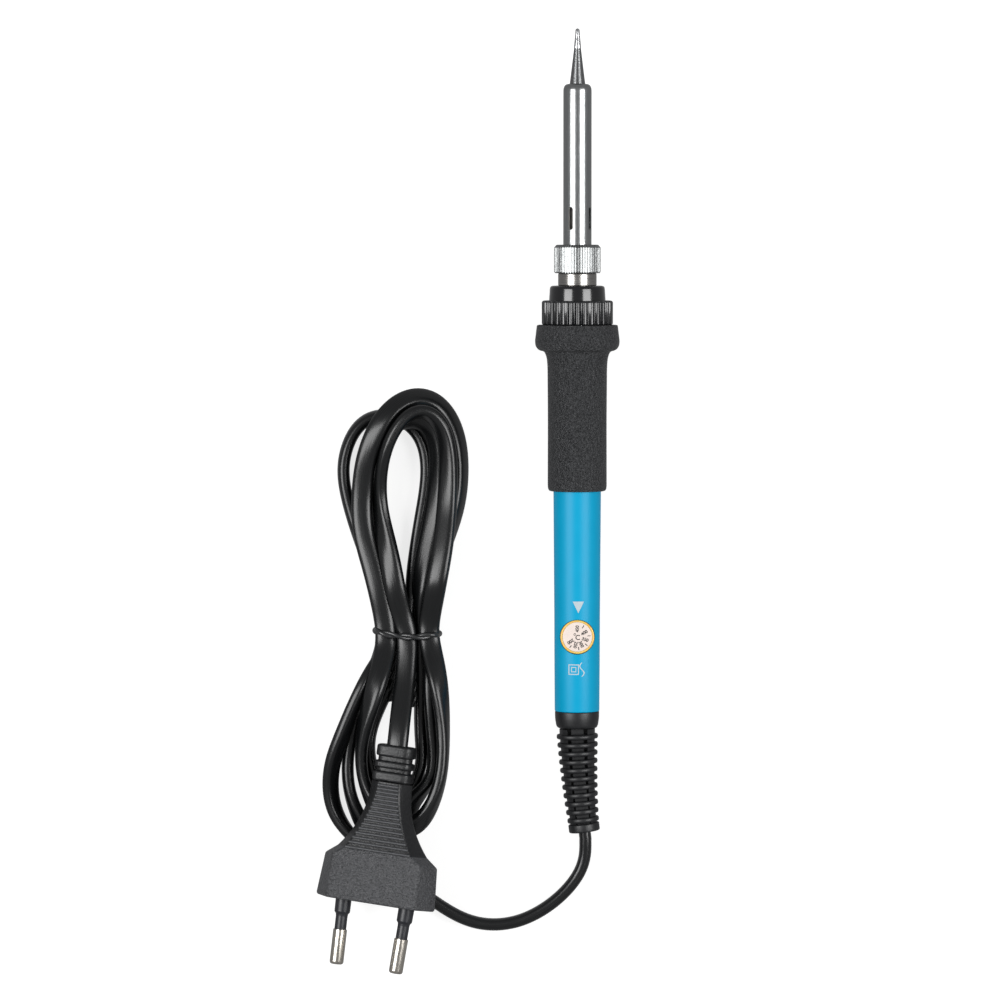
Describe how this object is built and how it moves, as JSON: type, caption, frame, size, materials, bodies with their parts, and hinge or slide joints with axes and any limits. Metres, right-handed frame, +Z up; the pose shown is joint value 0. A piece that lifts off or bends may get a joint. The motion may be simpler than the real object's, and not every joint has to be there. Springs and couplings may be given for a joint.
{
  "type": "soldering iron",
  "caption": "Mains soldering iron with a temperature dial in its handle, a screw-clamped tip and sleeve, and a flat lead tied in a hank with a two-pin plug.",
  "frame": {"origin": "under the middle of the iron's length, on the surface it lies on", "axes": "+Z up out of the dial, +Y along the iron towards its tip, +X to the right of the dial; the hank and plug lie to -X"},
  "size_m": [0.0869, 0.2695, 0.0255],
  "materials": {
    "blue_plastic": "Injection-moulded blue plastic with a satin sheen",
    "grip_rubber": "Matte black rubber with a fine pebbled grain",
    "ring_plastic": "Shiny black moulded plastic",
    "collar_bakelite": "Glossy black phenolic moulding",
    "nickel_steel": "Bright nickel-plated metal",
    "ceramic_white": "White unglazed alumina ceramic",
    "plated_tip": "Chromium-plated tip, tinned at its point",
    "sleeve_steel": "Turned stainless tube with fine rings of polish",
    "chromed_nut": "Bright chromed knurled nut",
    "board_green": "Green fibreglass laminate",
    "pot_blue": "Blue moulded plastic",
    "amber_plastic": "Translucent amber plastic",
    "dial_white": "White plastic disc with dark printed marks",
    "lamp_red": "Clear red-orange lamp",
    "chip_black": "Black epoxy package",
    "glass_violet": "Glass-bodied diode",
    "film_yellow": "Yellow film capacitor case",
    "resistor_tan": "Tan lacquered resistors",
    "glass_sleeving": "Woven glass-fibre sleeving",
    "solder": "Solder",
    "wire_brown": "Brown and blue insulated wires",
    "clamp_nylon": "Black nylon",
    "relief_rubber": "Matte black moulded strain relief",
    "lead_pvc": "Black PVC jacket with a soft shine",
    "tie_pvc": "Black PVC-coated wire",
    "plug_pvc": "Black moulded PVC with a fine spark-eroded texture"
  },
  "bodies": {
    "root": {"handle": "blue_plastic", "grip": "grip_rubber", "heater_collar": "collar_bakelite", "nipple": "nickel_steel", "heater_bush": "ceramic_white", "heater_rod": "ceramic_white", "circuit_board": "board_green", "potentiometer": "pot_blue", "indicator_led": "lamp_red", "triac": "chip_black", "diac": "glass_violet", "capacitor": "film_yellow", "resistors": "resistor_tan", "heater_leads": "nickel_steel", "lead_sleeving": "glass_sleeving", "solder_joints": "solder", "mains_wires": "wire_brown", "cord_clamp": "clamp_nylon", "strain_relief": "relief_rubber", "cord_in_relief": "lead_pvc", "cord": "lead_pvc", "cord_hank": "lead_pvc", "plug_lead": "lead_pvc", "twist_tie": "tie_pvc", "plug_body": "plug_pvc", "plug_pins": "nickel_steel", "pin_insulation": "plug_pvc"},
    "dial": {"dial_knob": "amber_plastic", "dial_face": "dial_white"},
    "lock_ring_body": {"lock_ring": "ring_plastic"},
    "sleeve": {"tip_sleeve": "sleeve_steel"},
    "nut": {"sleeve_nut": "chromed_nut"},
    "tip_body": {"tip": "plated_tip"}
  },
  "joints": [
    {"name": "dial_turn", "type": "hinge", "parent": "root", "child": "dial", "pos_m": [0, -0.0584, 0.01255], "axis": [0, -0.0536, 0.9986], "range_deg": [-10, 250]},
    {"name": "lock_ring_turn", "type": "hinge", "parent": "root", "child": "lock_ring_body", "pos_m": [0, 0.03404, 0.0125], "axis": [0, 0.9986, 0.0536], "continuous": true},
    {"name": "sleeve_pull_off", "type": "slide", "parent": "root", "child": "sleeve", "axis": [0, 0.9986, 0.0536], "range_m": [0, 0.056]},
    {"name": "nut_turn", "type": "hinge", "parent": "sleeve", "child": "nut", "pos_m": [0, 0.04951, 0.01333], "axis": [0, 0.9986, 0.0536], "continuous": true},
    {"name": "tip_pull_off", "type": "slide", "parent": "root", "child": "tip_body", "axis": [0, 0.9986, 0.0536], "range_m": [0, 0.028]}
  ],
  "couplings": [
    {"joint": "tip_pull_off", "follows": "sleeve_pull_off", "ratio": 0.5}
  ]
}
